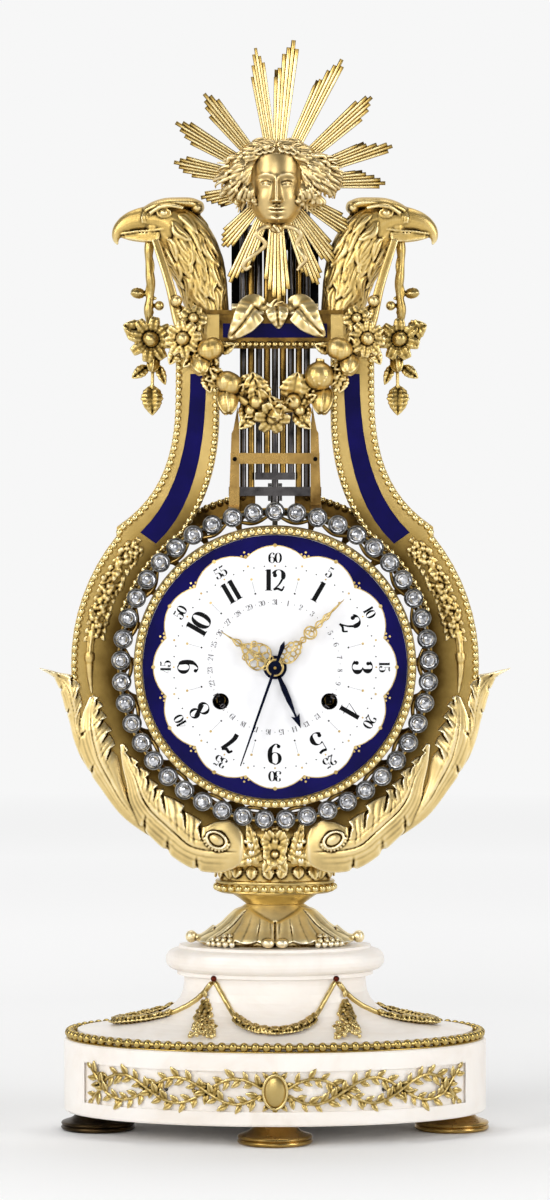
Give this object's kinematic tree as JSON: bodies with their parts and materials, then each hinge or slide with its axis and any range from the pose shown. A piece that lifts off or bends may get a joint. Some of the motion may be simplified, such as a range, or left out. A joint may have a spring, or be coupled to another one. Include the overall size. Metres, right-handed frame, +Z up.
{
  "type": "lyre clock",
  "caption": "Gilt lyre mantel clock with eagle heads, a sunburst mask, enamel dial and a ring pendulum of paste brilliants swinging on a gridiron, on an oval marble base.",
  "frame": {"origin": "on the floor under the middle of the oval base", "axes": "+Z up, -Y towards the viewer (the dial's front), +X to the viewer's right"},
  "size_m": [0.2628, 0.1552, 0.6107],
  "materials": {
    "gilt": "satin",
    "brass": "polished",
    "bronze": "satin",
    "steel": "satin",
    "blued": "polished",
    "silver": "satin",
    "paste": "polished",
    "marble": "polished",
    "enamel_white": "gloss",
    "enamel_blue": "gloss"
  },
  "bodies": {
    "case": {"feet": "gilt", "base_slab": "marble", "base_bead_moulding": "gilt", "frieze_mount": "gilt", "plinth": "marble", "plinth_swags": "gilt", "tie_rod": "steel", "foot_leaves": "gilt", "foot_collar": "gilt", "socle": "gilt", "lyre_arm_right": "gilt", "lyre_arm_left": "gilt", "enamel_panels": "enamel_blue", "lyre_beads": "gilt", "crossbar": "gilt", "cresting_leaves": "gilt", "acanthus_right": "gilt", "acanthus_left": "gilt", "berry_drops": "gilt", "foot_palmette": "gilt", "eagle_head_right": "gilt", "eagle_head_left": "gilt", "garland_swag": "gilt", "garland_drops": "gilt", "sun_rays": "gilt", "sun_mask": "gilt", "sun_bracket": "brass", "rear_rail": "brass", "suspension_cock": "brass", "movement_gallery": "bronze", "movement_drum": "brass", "front_plate": "brass", "back_plate": "brass", "bell": "bronze", "bezel": "gilt", "dial": "enamel_white"},
    "pendulum": {"pendulum_hanger": "steel", "gridiron_steel": "steel", "gridiron_brass": "brass", "bob_fork": "brass", "bob_ring": "silver", "brilliants": "paste"},
    "seconds": {"escape_wheel": "brass", "second_hand": "blued"},
    "third": {"third_wheel": "brass"},
    "centre": {"centre_wheel": "brass", "minute_hand": "gilt"},
    "intermediate": {"mid_wheel": "brass"},
    "going_drum": {"going_barrel": "brass"},
    "strike_drum": {"strike_barrel": "brass"},
    "going_key": {"going_arbor": "steel"},
    "strike_key": {"strike_arbor": "steel"},
    "motion": {"minute_wheel": "brass"},
    "hours": {"hour_wheel": "brass", "hour_hand": "gilt"},
    "dates": {"date_wheel": "brass", "date_hand": "blued"},
    "pallets": {"pallets_crutch": "steel"},
    "striker": {"hammer": "steel"}
  },
  "joints": [
    {"name": "pendulum_swing", "type": "hinge", "parent": "case", "child": "pendulum", "pos_m": [0, 0, 0.5329], "axis": [0, 1, 0], "range_deg": [-2, 2]},
    {"name": "pallets_rock", "type": "hinge", "parent": "case", "child": "pallets", "pos_m": [0, 0, 0.2869], "axis": [0, 1, 0], "range_deg": [-4.83, 4.83]},
    {"name": "seconds_turn", "type": "hinge", "parent": "case", "child": "seconds", "pos_m": [0, 0, 0.2629], "axis": [0, 1, 0], "continuous": true},
    {"name": "third_turn", "type": "hinge", "parent": "case", "child": "third", "pos_m": [-0.01691, 0, 0.26906], "axis": [0, 1, 0], "continuous": true},
    {"name": "minute_turn", "type": "hinge", "parent": "case", "child": "centre", "pos_m": [0, 0, 0.2629], "axis": [0, 1, 0], "continuous": true},
    {"name": "intermediate_turn", "type": "hinge", "parent": "case", "child": "intermediate", "pos_m": [0.0175, 0, 0.26271], "axis": [0, 1, 0], "continuous": true},
    {"name": "going_barrel_turn", "type": "hinge", "parent": "case", "child": "going_drum", "pos_m": [0.03, 0, 0.244], "axis": [0, 1, 0], "continuous": true},
    {"name": "motion_turn", "type": "hinge", "parent": "case", "child": "motion", "pos_m": [0, 0, 0.2509], "axis": [0, 1, 0], "continuous": true},
    {"name": "hour_turn", "type": "hinge", "parent": "case", "child": "hours", "pos_m": [0, 0, 0.2629], "axis": [0, 1, 0], "continuous": true},
    {"name": "date_turn", "type": "hinge", "parent": "case", "child": "dates", "pos_m": [0, 0, 0.2629], "axis": [0, 1, 0], "continuous": true},
    {"name": "strike_barrel_turn", "type": "hinge", "parent": "case", "child": "strike_drum", "pos_m": [-0.03, 0, 0.244], "axis": [0, 1, 0], "continuous": true},
    {"name": "going_winding", "type": "hinge", "parent": "case", "child": "going_key", "pos_m": [0.03, 0, 0.244], "axis": [0, 1, 0], "continuous": true},
    {"name": "strike_winding", "type": "hinge", "parent": "case", "child": "strike_key", "pos_m": [-0.03, 0, 0.244], "axis": [0, 1, 0], "continuous": true},
    {"name": "hammer_strike", "type": "hinge", "parent": "case", "child": "striker", "pos_m": [0.038, 0, 0.2769], "axis": [0, 1, 0], "range_deg": [0, 7.5]}
  ],
  "couplings": [
    {"joint": "pallets_rock", "follows": "pendulum_swing", "ratio": -2.4167},
    {"joint": "third_turn", "follows": "seconds_turn", "ratio": -0.13333},
    {"joint": "minute_turn", "follows": "seconds_turn", "ratio": 0.016667},
    {"joint": "intermediate_turn", "follows": "seconds_turn", "ratio": -0.0027778},
    {"joint": "going_barrel_turn", "follows": "seconds_turn", "ratio": 0.00034722},
    {"joint": "motion_turn", "follows": "seconds_turn", "ratio": -0.0055556},
    {"joint": "hour_turn", "follows": "seconds_turn", "ratio": 0.0013889},
    {"joint": "date_turn", "follows": "seconds_turn", "ratio": 0.000022401}
  ]
}
